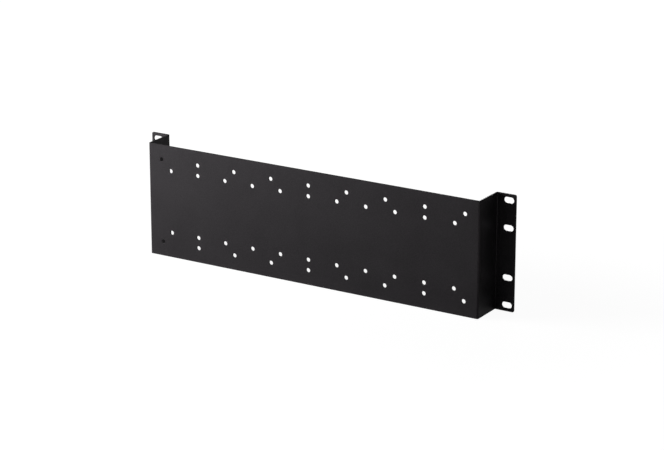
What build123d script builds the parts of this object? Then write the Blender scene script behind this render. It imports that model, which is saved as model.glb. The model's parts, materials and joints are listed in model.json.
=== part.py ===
from build123d import *
import math
import os

# A rack bracket folded from one steel sheet. A wide panel, punched for small monitors, stands
# forward of the rack. Its ends are folded back, and then folded outwards into two slotted ears.
#
# Sizes are in millimetres. X runs across the rack, Y from front to back, and Z up.
# The origin is the middle of the rack face, which is the plane of the ears' backs.

# The sheet: its thickness, the inside radius of its folds, the break of its cut edges, and the
# rounding of the ears' free corners
SHEET = 1.5
BEND_RADIUS = 0.5
EDGE_BREAK = 0.2
EAR_CORNER_RADIUS = 2.0

# How far the panel's face stands in front of the rack face
DEPTH = 41.2

# The rack: how many units the bracket fills, the height of a unit, the places of a unit's
# first and last hole within it, and the distance between the rack's two columns of holes
RACK_UNITS = 3
UNIT_HEIGHT = 44.45
FIRST_HOLE = 6.35
LAST_HOLE = 38.1
HOLE_SPACING = 465.1

# The ears' slots, and how far their centres are from the ear's free side, from the outer face
# of the folded-back end, and from the sheet's top or bottom
SLOT_LENGTH = 12.3
SLOT_WIDTH = 7.0
SLOT_TO_TIP = 8.95
SLOT_TO_FOLD = 14.4
SLOT_TO_EDGE = 7.175

# The panel's holes. A monitor is held at the corners of one of two squares. Each square can
# stand anywhere along the panel in steps of half its side, as far as the last hole that
# still clears the fold.
SMALL_SQUARE = 75.0
LARGE_SQUARE = 100.0
HOLE_DIAMETER = 5.0
HOLE_TO_FOLD = 15.0

# What follows from those sizes
OUTER_SLOT_ROWS = RACK_UNITS * UNIT_HEIGHT - 2 * FIRST_HOLE
INNER_SLOT_ROWS = RACK_UNITS * UNIT_HEIGHT - 2 * LAST_HOLE
HEIGHT = OUTER_SLOT_ROWS + 2 * SLOT_TO_EDGE
PANEL_WIDTH = HOLE_SPACING - 2 * SLOT_TO_FOLD
OVERALL_WIDTH = HOLE_SPACING + 2 * SLOT_TO_TIP


def folded_sheet():
    """The blank with its four folds: its front side as a line, thickened and raised."""
    tip = OVERALL_WIDTH / 2
    fold = PANEL_WIDTH / 2
    front_side = FilletPolyline(
        (-tip, -SHEET),
        (-fold, -SHEET),
        (-fold, -DEPTH),
        (fold, -DEPTH),
        (fold, -SHEET),
        (tip, -SHEET),
        radius=[BEND_RADIUS, BEND_RADIUS + SHEET, BEND_RADIUS + SHEET, BEND_RADIUS],
    )
    sheet = make_brake_formed(SHEET, HEIGHT, front_side, side=Side.LEFT)
    return Pos(0, 0, -HEIGHT / 2) * sheet


def at_tips(edge):
    """Whether an edge is on the free side of an ear."""
    return abs(edge.center().X) > OVERALL_WIDTH / 2 - SHEET


def round_corners(sheet):
    """Round the free corners of both ears."""
    return fillet(sheet.edges().filter_by(Axis.Y).filter_by(at_tips), EAR_CORNER_RADIUS)


def soften_outline(sheet):
    """Break the sharp edges of the cut outline, on both sides of the sheet.

    The lines along Y or Z are where a flat runs into a fold or a corner, apart from the two
    long edges of each ear's free side.
    """
    edges = sheet.edges()
    smooth_lines = edges.filter_by(Axis.Y) + edges.filter_by(Axis.Z)
    outline = (edges - smooth_lines) + edges.filter_by(Axis.Z).filter_by(at_tips)
    return chamfer(outline, EDGE_BREAK)


def punch(front, centres, outline):
    """A tool with this outline at each centre, through the sheet whose front is at y = front."""
    face = Plane.XZ * (Sketch() + centres * outline)
    return Pos(0, front, 0) * extrude(face, 2 * SHEET, both=True)


def rack_slots():
    """The tools for the ears' slots: an outer and an inner pair of rows."""
    slot = SlotOverall(SLOT_LENGTH, SLOT_WIDTH)
    pairs = [GridLocations(HOLE_SPACING, rows, 2, 2) for rows in (OUTER_SLOT_ROWS, INNER_SLOT_ROWS)]
    return [punch(-SHEET, pair, slot) for pair in pairs]


def monitor_holes(square):
    """The tool for one square's holes: two rows, as far apart as its side."""
    step = square / 2
    reach = PANEL_WIDTH / 2 - HOLE_TO_FOLD
    columns = 2 * math.floor(reach / step) + 1
    return punch(-DEPTH, GridLocations(step, square, columns, 2), Circle(HOLE_DIAMETER / 2))


def soften_rims(sheet):
    """Break the rims of the holes and slots on the front side, where the punch goes in."""
    fronts = sheet.faces().filter_by(Plane.XZ).filter_by(lambda face: face.normal_at().Y < 0)
    rims = [edge for front in fronts for rim in front.inner_wires() for edge in rim.edges()]
    return chamfer(rims, EDGE_BREAK)


def rack_bracket():
    """The whole bracket, folded, trimmed and punched."""
    bracket = soften_outline(round_corners(folded_sheet()))
    for tool in [*rack_slots(), monitor_holes(SMALL_SQUARE), monitor_holes(LARGE_SQUARE)]:
        bracket -= tool
    return soften_rims(bracket)


def main():
    bracket = rack_bracket()
    print(bracket.bounding_box(), len(bracket.faces()), bracket.is_valid)
    os.makedirs("parts", exist_ok=True)
    export_step(bracket, "parts/rack_bracket.step")


main()
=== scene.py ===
# %% [markdown]
# # A rack bracket, from flat blank to finished coat
#
# The real bracket is a single piece of steel sheet. A machine cuts the flat blank and punches its
# holes, a press folds it along straight lines, and a coat of black powder is baked on. This
# lesson follows the same route in Blender: flat face, holes, folds, thickness, soft edges, coat.
#
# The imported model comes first. It fixes where everything is, in metres: X runs along the rack,
# Y from front to back, Z up, and the plane of the ears' backs is y = 0.

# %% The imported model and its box
import json
import math

import bmesh
import bpy
from mathutils import Matrix, Vector


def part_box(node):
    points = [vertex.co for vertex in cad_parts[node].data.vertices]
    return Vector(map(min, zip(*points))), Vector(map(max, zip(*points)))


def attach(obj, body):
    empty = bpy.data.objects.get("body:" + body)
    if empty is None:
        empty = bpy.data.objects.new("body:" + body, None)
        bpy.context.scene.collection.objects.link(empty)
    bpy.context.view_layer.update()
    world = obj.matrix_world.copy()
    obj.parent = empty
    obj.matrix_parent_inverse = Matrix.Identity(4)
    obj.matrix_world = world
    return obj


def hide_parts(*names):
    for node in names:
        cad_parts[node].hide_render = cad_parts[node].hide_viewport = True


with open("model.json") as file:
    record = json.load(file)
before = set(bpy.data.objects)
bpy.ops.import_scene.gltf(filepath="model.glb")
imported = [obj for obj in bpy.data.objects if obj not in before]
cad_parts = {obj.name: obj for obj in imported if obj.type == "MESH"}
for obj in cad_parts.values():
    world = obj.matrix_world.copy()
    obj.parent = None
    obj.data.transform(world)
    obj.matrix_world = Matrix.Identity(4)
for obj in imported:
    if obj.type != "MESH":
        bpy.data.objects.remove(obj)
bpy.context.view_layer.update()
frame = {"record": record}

low, high = (Vector(corner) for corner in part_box("rack_bracket"))
print("bracket from", low[:], "to", high[:])

# %% [markdown]
# ## The camera
#
# The picture is taken from the right and a little above, with a long lens, so the top and bottom
# of the wide panel run almost parallel. Instead of typing a location and a rotation, it is
# easier to say what the camera looks at, from which direction and how far away. The rotation then
# follows from the line of sight.

# %% The camera
scene = bpy.context.scene
CAMERA_AZIMUTH = math.radians(31.591)
CAMERA_ELEVATION = math.radians(17.873)
CAMERA_DISTANCE = 2.79505
CAMERA_TARGET = Vector((0.031695, low.y, 0.009163))
CAMERA_LENS = 135.62

line_of_sight = Vector((
    -math.sin(CAMERA_AZIMUTH) * math.cos(CAMERA_ELEVATION),
    math.cos(CAMERA_AZIMUTH) * math.cos(CAMERA_ELEVATION),
    -math.sin(CAMERA_ELEVATION),
))
camera = bpy.data.objects.new("camera", bpy.data.cameras.new("camera"))
camera.data.lens = CAMERA_LENS
camera.location = CAMERA_TARGET - line_of_sight * CAMERA_DISTANCE
camera.rotation_euler = line_of_sight.to_track_quat("-Z", "Y").to_euler()
scene.collection.objects.link(camera)
scene.camera = camera
print("camera at", camera.location[:])

# %% [markdown]
# ## The sizes of the sheet
#
# A folded part is drawn on one side of the sheet, and the thickness comes last. Here that side is
# the front, which the camera sees. Each fold is an arc on that side: a wide one where the front
# is on the outside of the fold, and a tight one where it is on the inside. An arc becomes a few
# narrow strips, and the width of a strip is the chord of its part of the arc. With the strips
# laid flat beside the flat faces, the sizes below give the whole blank.
#
# The sheet is modelled in millimetres and only scaled to metres at the end. Blender's mesh tools
# compare places with a small fixed tolerance, and a fifth of a millimetre, written in metres, is
# small enough to be mistaken for nothing.

# %% The sheet and its folds
MM = 0.001
SHEET = 1.5
BEND_RADIUS = 0.5
PANEL_HALF = 218.15
RIGHT_ANGLE = math.radians(90)
FOLD_STRIPS = 10
STRIP_TURN = RIGHT_ANGLE / FOLD_STRIPS
half_width = high.x / MM
depth = (high.y - low.y) / MM
height = (high.z - low.z) / MM


def fold_lines(start, radius):
    """Where a fold's strips begin and end on the flat blank."""
    strip = 2 * radius * math.sin(STRIP_TURN / 2)
    return [start + number * strip for number in range(FOLD_STRIPS + 1)]


outer_radius = BEND_RADIUS + SHEET
return_width = depth - SHEET - outer_radius - BEND_RADIUS
ear_width = half_width - PANEL_HALF - BEND_RADIUS
panel_folds = fold_lines(PANEL_HALF - outer_radius, outer_radius)
ear_folds = fold_lines(panel_folds[-1] + return_width, BEND_RADIUS)
blank_half = ear_folds[-1] + ear_width
print("blank", round(2 * blank_half, 2), "by", round(height, 2), "mm")

# %% [markdown]
# ## The holes, from the record
#
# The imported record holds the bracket's mounts: two patterns of slots for the rack's screws, and a
# square of holes for each place that a small monitor can have. Many squares share holes, so the
# centres go into a set, which keeps each of them once.

# %% The centres of the holes and slots
mounts = {mount["name"]: mount for mount in frame["record"]["mounts"]}


def centres(mount):
    """The corners of a mount's rectangle, as (x, z)."""
    x, _, z = mount["pos_m"]
    half_x = mount["dims"]["spacing_x_mm"] / 2
    half_z = mount["dims"]["spacing_y_mm"] / 2
    columns = [round(x / MM + side * half_x, 3) for side in (-1, 1)]
    rows = [round(z / MM + end * half_z, 3) for end in (-1, 1)]
    return {(column, row) for column in columns for row in rows}


hole_centres = sorted(set().union(*(centres(m) for name, m in mounts.items() if "monitor" in name)))
slot_centres = sorted(set().union(*(centres(m) for name, m in mounts.items() if "slots" in name)))
HOLE_RADIUS = mounts["monitor_75_place_1"]["dims"]["hole_r_mm"]
SLOT_RADIUS = mounts["rack_outer_slots"]["dims"]["hole_r_mm"]
SLOT_LENGTH = mounts["rack_outer_slots"]["dims"]["slot_length_mm"]
print(len(hole_centres), "holes and", len(slot_centres), "slots")

# %% [markdown]
# ## The flat blank
#
# The blank starts as one square face from create_grid, stretched to size and stood up facing the
# viewer. Rounding the four corners of the ears is a bevel of vertices: its offset is the radius,
# because the corners are square. bisect_plane then scores the face along every line of the
# folds. A score doesn't bend anything yet, it only gives the fold its vertices.

# %% The blank, with its corners rounded and its folds scored
CORNER_RADIUS = 2.0
CORNER_STEPS = 6
TOUCH = 0.001
front = -depth


def cut(faces, place, across):
    """Scores these faces along a plane through the place, square to the direction across."""
    edges = dict.fromkeys(edge for face in faces for edge in face.edges)
    verts = dict.fromkeys(vert for face in faces for vert in face.verts)
    bmesh.ops.bisect_plane(sheet, geom=[*faces, *edges, *verts], dist=TOUCH,
                           plane_co=place, plane_no=across)


sheet = bmesh.new()
stretch = Matrix.Diagonal((blank_half, height / 2, 1, 1))
stand_up = Matrix.Rotation(RIGHT_ANGLE, 4, "X")
to_front = Matrix.Translation((0, front, 0))
bmesh.ops.create_grid(sheet, x_segments=1, y_segments=1, size=1,
                      matrix=to_front @ stand_up @ stretch)
bmesh.ops.bevel(sheet, geom=sheet.verts[:], offset=CORNER_RADIUS, affect="VERTICES",
                segments=CORNER_STEPS, profile=0.5, material=-1)
for line in panel_folds + ear_folds:
    for side in (-1, 1):
        cut(sheet.faces[:], (side * line, front, 0), (1, 0, 0))
print("blank has", len(sheet.faces), "faces")

# %% [markdown]
# ## Punching the holes
#
# A boolean could cut the holes, but on a sheet this wide it leaves long thin faces that shade
# badly. Punching by hand keeps them short. Four cuts frame a small cell around the hole, the
# cell's face is taken away, and a closed line of edges, the rim, goes inside it. triangle_fill
# then fills what lies between the cell's border and the rim.
#
# A slot's rim is a circle whose left and right halves stand apart, so one function makes both
# shapes. The circle is turned by half a step to have an edge, not a vertex, at its top and
# bottom: those edges stretch into the slot's straight sides.

# %% Punching
RIM_STEPS = 36
CELL_MARGIN = 1.4


def face_at(x, z):
    """The blank's face around a point."""
    point = Vector((x, front, z))
    return next(face for face in sheet.faces if bmesh.geometry.intersect_face_point(face, point))


def frame_cell(x, z, half_length, half_height):
    """Cuts a rectangular face around a point and returns it."""
    for side in (-1, 1):
        cut([face_at(x, z)], (x + side * half_length, front, z), (1, 0, 0))
        cut([face_at(x, z)], (x, front, z + side * half_height), (0, 0, 1))
    return face_at(x, z)


def make_rim(x, z, radius, straight):
    """A closed line of edges: a circle, or a slot where its halves stand apart."""
    half_step = Matrix.Rotation(math.pi / RIM_STEPS, 4, "Y")
    place = Matrix.Translation((x, front, z)) @ half_step @ stand_up
    rim = bmesh.ops.create_circle(sheet, segments=RIM_STEPS, radius=radius, matrix=place)["verts"]
    for side in (-1, 1):
        half = [vert for vert in rim if (vert.co.x - x) * side > 0]
        bmesh.ops.translate(sheet, verts=half, vec=(side * straight / 2, 0, 0))
    return dict.fromkeys(edge for vert in rim for edge in vert.link_edges)


def punch(x, z, radius, length):
    """Makes a hole or slot in the blank."""
    cell = frame_cell(x, z, length / 2 + CELL_MARGIN, radius + CELL_MARGIN)
    border = cell.edges[:]
    bmesh.ops.delete(sheet, geom=[cell], context="FACES_ONLY")
    rim = make_rim(x, z, radius, length - 2 * radius)
    bmesh.ops.triangle_fill(sheet, edges=[*border, *rim], normal=(0, -1, 0), use_beauty=True)


for x, z in hole_centres:
    punch(x, z, HOLE_RADIUS, 2 * HOLE_RADIUS)
ear_shift = ear_folds[-1] - (PANEL_HALF + BEND_RADIUS)
for x, z in slot_centres:
    punch(x + math.copysign(ear_shift, x), z, SLOT_RADIUS, SLOT_LENGTH)
area = sum(face.calc_area() for face in sheet.faces)
print("punched blank has", len(sheet.faces), "faces and", round(area), "square mm")

# %% [markdown]
# ## Folding
#
# A press folds a sheet about a line, and so does this step: at each scored line, everything
# beyond it turns by a few degrees. The first and last lines of a fold turn by half a step, so
# that the strips lie along the arc, with flats that meet it smoothly. The ears fold first and
# the long panel last, because an outer line is still in its flat place as long as no inner
# one has turned it away.

# %% Folding


def fold(lines, towards_back):
    """Folds both ends of the sheet by a right angle along these lines."""
    for number, line in reversed(list(enumerate(lines))):
        turn = STRIP_TURN / 2 if number in (0, FOLD_STRIPS) else STRIP_TURN
        for side in (-1, 1):
            beyond = [vert for vert in sheet.verts if vert.co.x * side > line + TOUCH]
            bmesh.ops.rotate(sheet, verts=beyond, cent=(side * line, front, 0),
                             matrix=Matrix.Rotation(side * turn * towards_back, 3, "Z"))


fold(ear_folds, towards_back=-1)
fold(panel_folds, towards_back=1)
print("folded depth", round(max(vert.co.y for vert in sheet.verts) - front, 3), "mm")

# %% [markdown]
# ## Thickness and soft edges
#
# solidify gives the sheet its thickness behind the front side, with the walls of every hole. A
# cut edge of real sheet isn't razor sharp: the coat flows round it. bevel rounds each edge that
# turns by about a right angle, and leaves the folds alone, because their strips turn by only
# a few degrees each. Even offsets matter more here than following the mesh, so loop_slide is off.

# %% Thickness and soft edges
EDGE_RADIUS = 0.2
EDGE_STEPS = 3
SHARP = math.radians(60)

bmesh.ops.solidify(sheet, geom=sheet.faces[:], thickness=SHEET)
bmesh.ops.recalc_face_normals(sheet, faces=sheet.faces[:])
thin_coat_layer = sheet.faces.layers.float.new("thin_coat")
sharp_edges = [edge for edge in sheet.edges if edge.calc_face_angle(0) > SHARP]
rounded = bmesh.ops.bevel(
    sheet, geom=sharp_edges, offset=EDGE_RADIUS, offset_type="OFFSET", affect="EDGES",
    segments=EDGE_STEPS, profile=0.5, clamp_overlap=False, loop_slide=False, material=-1)
for face in rounded["faces"]:
    face[thin_coat_layer] = 1
open_edges = [edge for edge in sheet.edges if not edge.is_manifold]
print(len(sharp_edges), "edges rounded,", len(open_edges), "left open, volume",
      round(sheet.calc_volume()), "cubic mm")

# %% [markdown]
# ## The bracket as a piece
#
# The mesh goes back to metres and into an object. Smooth shading alone would bend the light over
# the flat faces as well, because the faces around a vertex share one direction there. The Weighted
# Normal modifier lets the largest face decide, so flats stay flat, and only folds and soft edges
# turn the light.
#
# Two calls then follow. The piece moves with the bracket's only body, and the imported bracket is
# hidden.

# %% The bracket as a piece
mesh = bpy.data.meshes.new("bracket")
bmesh.ops.scale(sheet, vec=(MM, MM, MM), verts=sheet.verts[:])
sheet.to_mesh(mesh)
sheet.free()
mesh.shade_smooth()
bracket = bpy.data.objects.new("bracket", mesh)
scene.collection.objects.link(bracket)
shading = bracket.modifiers.new("flat faces stay flat", "WEIGHTED_NORMAL")
shading.mode = "FACE_AREA"
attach(bracket, "root")
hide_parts("rack_bracket")
print("bracket has", len(mesh.polygons), "faces")

# %% [markdown]
# ## The powder coat
#
# Powder coat is sprayed on dry and melted in an oven. The skin that it leaves is a little wavy,
# like an orange's peel, and carries a fine grain where the specks of powder didn't quite flow
# together. An image could show that, but noise on Object coordinates has no seams and stays sharp
# from close by. The object is in metres, so the scale of a noise is its number of waves to a
# metre, more or less.
#
# Peel and grain are added up into one height for a Bump node. Specks of slightly different black
# and a slow cloud, a few centimetres wide, tint the colour, and the cloud also makes the sheen
# uneven.
#
# The small functions here make one node each, in whichever material's nodes and links were named
# last. The floor and the world use them again.

# %% Noises for the coat
coat = bpy.data.materials.new("black_powder_coat")
coat.use_nodes = True
nodes, links = coat.node_tree.nodes, coat.node_tree.links
shader = nodes["Principled BSDF"]
on_bracket = nodes.new("ShaderNodeTexCoord").outputs["Object"]
NOISE_RANGE = (0.3, 0.7)


def noise(waves_per_metre, detail):
    """A noise texture on Object coordinates."""
    texture = nodes.new("ShaderNodeTexNoise")
    texture.inputs["Scale"].default_value = waves_per_metre
    texture.inputs["Detail"].default_value = detail
    links.new(on_bracket, texture.inputs["Vector"])
    return texture.outputs["Fac"]


def remap(value, old_range, new_range):
    """Stretches a value from its old range to a new one, and stays within it."""
    node = nodes.new("ShaderNodeMapRange")
    node.inputs["From Min"].default_value, node.inputs["From Max"].default_value = old_range
    node.inputs["To Min"].default_value, node.inputs["To Max"].default_value = new_range
    links.new(value, node.inputs["Value"])
    return node.outputs["Result"]


def calculate(operation, first, second):
    """A Math node on two values, each an output or a plain number."""
    node = nodes.new("ShaderNodeMath")
    node.operation = operation
    for value, socket in zip((first, second), node.inputs):
        if isinstance(value, bpy.types.NodeSocket):
            links.new(value, socket)
        else:
            socket.default_value = value
    return node.outputs["Value"]


def mix(factor, first, second):
    """A Mix node between two colours, each an output or a plain colour."""
    node = nodes.new("ShaderNodeMix")
    node.data_type = "RGBA"
    links.new(factor, node.inputs["Factor"])
    for value, name in ((first, "A"), (second, "B")):
        socket = next(one for one in node.inputs if one.name == name and one.type == "RGBA")
        if isinstance(value, bpy.types.NodeSocket):
            links.new(value, socket)
        else:
            socket.default_value = value
    return next(one for one in node.outputs if one.type == "RGBA")


grain = noise(waves_per_metre=1800, detail=2)
peel = noise(waves_per_metre=350, detail=1)
specks = noise(waves_per_metre=1000, detail=2)
cloud = noise(waves_per_metre=25, detail=2)
cut_edges = nodes.new("ShaderNodeAttribute")
cut_edges.attribute_name = "thin_coat"
thin_coat = cut_edges.outputs["Fac"]
print("noises:", [node.name for node in nodes if node.type == "TEX_NOISE"])

# %% [markdown]
# ## The coat's colour, sheen and skin
#
# The black is not quite black, and has a touch less green in it. On the rounded cut edges the
# melted coat draws back and lies thin: there it is a shade lighter and smoother, read from the
# attribute that the edges' faces were given when they were made. Two numbers that are the same
# all over, the level and the tint of the gloss, are set on the shader itself.

# %% The coat's colour, sheen and skin
DARK_SPECKS = (0.0111, 0.0102, 0.0111, 1)
LIGHT_SPECKS = (0.0227, 0.0209, 0.0227, 1)
THIN_COAT_COLOUR = (0.0245, 0.0225, 0.0245, 1)
SPECKS_SHARE = 0.85
ROUGHNESS = (0.42, 0.48)
THIN_COAT_SMOOTHER = 0.06
SPECULAR_LEVEL = 0.25
SPECULAR_TINT = (1, 0.92, 1, 1)
GRAIN_SHARE = 0.5
SKIN_DEPTH = 0.00006

specks_part = calculate("MULTIPLY", remap(specks, NOISE_RANGE, (0, 1)), SPECKS_SHARE)
cloud_part = calculate("MULTIPLY", remap(cloud, NOISE_RANGE, (0, 1)), 1 - SPECKS_SHARE)
black = mix(calculate("ADD", specks_part, cloud_part), DARK_SPECKS, LIGHT_SPECKS)
links.new(mix(thin_coat, black, THIN_COAT_COLOUR), shader.inputs["Base Color"])

uneven = remap(cloud, NOISE_RANGE, ROUGHNESS)
smoother = calculate("MULTIPLY", thin_coat, THIN_COAT_SMOOTHER)
links.new(calculate("SUBTRACT", uneven, smoother), shader.inputs["Roughness"])
shader.inputs["Specular IOR Level"].default_value = SPECULAR_LEVEL
shader.inputs["Specular Tint"].default_value = SPECULAR_TINT

skin = nodes.new("ShaderNodeBump")
skin.inputs["Distance"].default_value = SKIN_DEPTH
grain_part = calculate("MULTIPLY", grain, GRAIN_SHARE)
peel_part = calculate("MULTIPLY", peel, 1 - GRAIN_SHARE)
links.new(calculate("ADD", grain_part, peel_part), skin.inputs["Height"])
links.new(skin.outputs["Normal"], shader.inputs["Normal"])
mesh.materials.append(coat)
print("coat has", len(nodes), "nodes")

# %% [markdown]
# ## The floor
#
# The bracket stands on a wide pale floor, and the picture's white background is that floor. Lamps
# strong enough to make it white would wash out the black coat. So the floor is plain pale paint
# to the light that reaches the bracket, and only to the camera it gives off a glow of its own. Far
# away the glow is white. Around the bracket it stops short of white and the lamps add the rest,
# which leaves the bracket a faint shadow. The camera also sees the paint darker than it is, because
# glow and lamps together should come to white and hardly more: past white, a background eats into
# the outline and makes every hole look too large.

# %% The floor and its paint
FLOOR_HALF = 6
FLOOR_COLOUR = (0.8, 0.8, 0.8, 1)
SEEN_COLOUR = (0.2, 0.2, 0.2, 1)
WHITE = (1, 1, 1, 1)
floor_mesh = bmesh.new()
bmesh.ops.create_grid(floor_mesh, x_segments=1, y_segments=1, size=FLOOR_HALF,
                      matrix=Matrix.Translation((0, 0, low.z)))
floor_data = bpy.data.meshes.new("floor")
floor_mesh.to_mesh(floor_data)
floor_mesh.free()
floor = bpy.data.objects.new("floor", floor_data)
scene.collection.objects.link(floor)

pale_paint = bpy.data.materials.new("pale_floor_paint")
pale_paint.use_nodes = True
nodes, links = pale_paint.node_tree.nodes, pale_paint.node_tree.links
light_path = nodes.new("ShaderNodeLightPath").outputs
paint = nodes["Principled BSDF"]
links.new(mix(light_path["Is Camera Ray"], FLOOR_COLOUR, SEEN_COLOUR), paint.inputs["Base Color"])
paint.inputs["Roughness"].default_value = 1
paint.inputs["Specular IOR Level"].default_value = 0
paint.inputs["Emission Color"].default_value = WHITE
floor_data.materials.append(pale_paint)
print("floor at", round(low.z, 4))

# %% [markdown]
# ## The floor's glow
#
# The glow changes with the distance from the bracket's box. Along one axis that is the distance
# from the middle less half the size, and never less than nothing. The three together make a
# vector, and its length is the distance.
#
# What the coat mirrors is a trace of that glow. There is a little more of it close by, which
# lights the foot of the folded ends. And there is a white patch on the floor at the right front,
# like a reflector in a studio. The flat faces don't mirror it, but the fold between the panel and
# the folded end does, and shows it as a thin light line.

# %% The floor's glow
GLOW_DISTANCES = (0.1, 0.5)
GLOW = (0.95, 1)
MIRRORED_DISTANCES = (0, 0.02)
MIRRORED_GLOW = (0.22, 0.05)
PATCH_CENTRE = (0.42, -0.24, low.z)
PATCH_EDGE = (0.15, 0.22)
PATCH_GLOW = (1, 0)


def vector_math(operation, first, second=(0, 0, 0)):
    """A Vector Math node on an output and a plain vector."""
    node = nodes.new("ShaderNodeVectorMath")
    node.operation = operation
    links.new(first, node.inputs[0])
    node.inputs[1].default_value = second
    return node.outputs["Value" if operation == "LENGTH" else "Vector"]


on_floor = nodes.new("ShaderNodeTexCoord").outputs["Object"]
from_side = vector_math("ABSOLUTE", vector_math("SUBTRACT", on_floor, (low + high) / 2))
outside = vector_math("MAXIMUM", vector_math("SUBTRACT", from_side, (high - low) / 2))
from_bracket = vector_math("LENGTH", outside)
from_patch = vector_math("LENGTH", vector_math("SUBTRACT", on_floor, PATCH_CENTRE))
seen = calculate("ADD", light_path["Is Camera Ray"], light_path["Is Transmission Ray"])
seen = calculate("MULTIPLY", seen, remap(from_bracket, GLOW_DISTANCES, GLOW))
mirrored = remap(from_bracket, MIRRORED_DISTANCES, MIRRORED_GLOW)
mirrored = calculate("MAXIMUM", mirrored, remap(from_patch, PATCH_EDGE, PATCH_GLOW))
mirrored = calculate("MULTIPLY", light_path["Is Glossy Ray"], mirrored)
links.new(calculate("ADD", seen, mirrored), paint.inputs["Emission Strength"])
print("floor's paint has", len(nodes), "nodes")

# %% [markdown]
# ## The background
#
# Above the floor's far edge is the world. The camera sees it white, because a strength of 1 is
# white. Glossy things mirror it too, but dimly, as they would the far walls of a studio: full
# white lays a veil over a black coat. As a light on matt surfaces it is only a faint fill.

# %% The background
WORLD_IN_GLOSS = 0.2
WORLD_FILL = 0.01
world = bpy.data.worlds.new("studio")
scene.world = world
world.use_nodes = True
nodes, links = world.node_tree.nodes, world.node_tree.links
background = nodes["Background"]
background.inputs["Color"].default_value = WHITE
light_path = nodes.new("ShaderNodeLightPath").outputs
seen = calculate("ADD", light_path["Is Camera Ray"], light_path["Is Transmission Ray"])
mirrored = calculate("MULTIPLY", light_path["Is Glossy Ray"], WORLD_IN_GLOSS)
shown = calculate("ADD", seen, mirrored)
links.new(calculate("MAXIMUM", shown, WORLD_FILL), background.inputs["Strength"])
print("world in gloss", WORLD_IN_GLOSS, "and as a fill", WORLD_FILL)

# %% [markdown]
# ## The lamps
#
# A black coat shows little of its own colour and much of what it mirrors. The panel is brightest
# at its left and darkens smoothly to the right, so the main light is a row of square soft lamps
# low on the left. Two more lamps light the bracket's back. The one on the right also draws the
# soft glow on the folded end. The one on the left stands clear of the place that the top edges
# mirror to the camera, where it would draw a bright line along them. A lamp's power is worked out
# from how bright its face is, which stays a small plain number whatever the lamp's size.
#
# Each lamp has five numbers: its angle to the left of the front, its angle above the floor, both
# in degrees, its distance from the bracket and the length of its sides, both in metres, and the
# brightness of its face.

# %% The lamps
LAMPS = {
    "lamp_left": (75, 9, 0.9, 0.4, 3.9),
    "lamp_left_front": (30, 9, 0.9, 0.4, 1.6),
    "lamp_far_left": (60, 11, 1.8, 0.8, 14.7),
    "lamp_behind_left": (163, 8, 1.8, 0.5, 12),
    "lamp_behind_right": (-160, 11, 1.8, 0.8, 1.25),
}
for name, (azimuth, elevation, distance, size, brightness) in LAMPS.items():
    left = math.radians(azimuth)
    up = math.radians(elevation)
    towards = Vector((-math.sin(left) * math.cos(up), -math.cos(left) * math.cos(up), math.sin(up)))
    data = bpy.data.lights.new(name, "AREA")
    data.shape = "SQUARE"
    data.size = size
    data.energy = brightness * math.pi * size ** 2
    light = bpy.data.objects.new(name, data)
    light.location = towards * distance
    light.rotation_euler = (-towards).to_track_quat("-Z", "Y").to_euler()
    light.visible_camera = False
    scene.collection.objects.link(light)
    print(name, round(data.energy, 2), "W")

# %% [markdown]
# ## The view
#
# The Standard view shows colours as they are written, with no film look over them.

# %% The view
scene.view_settings.view_transform = "Standard"
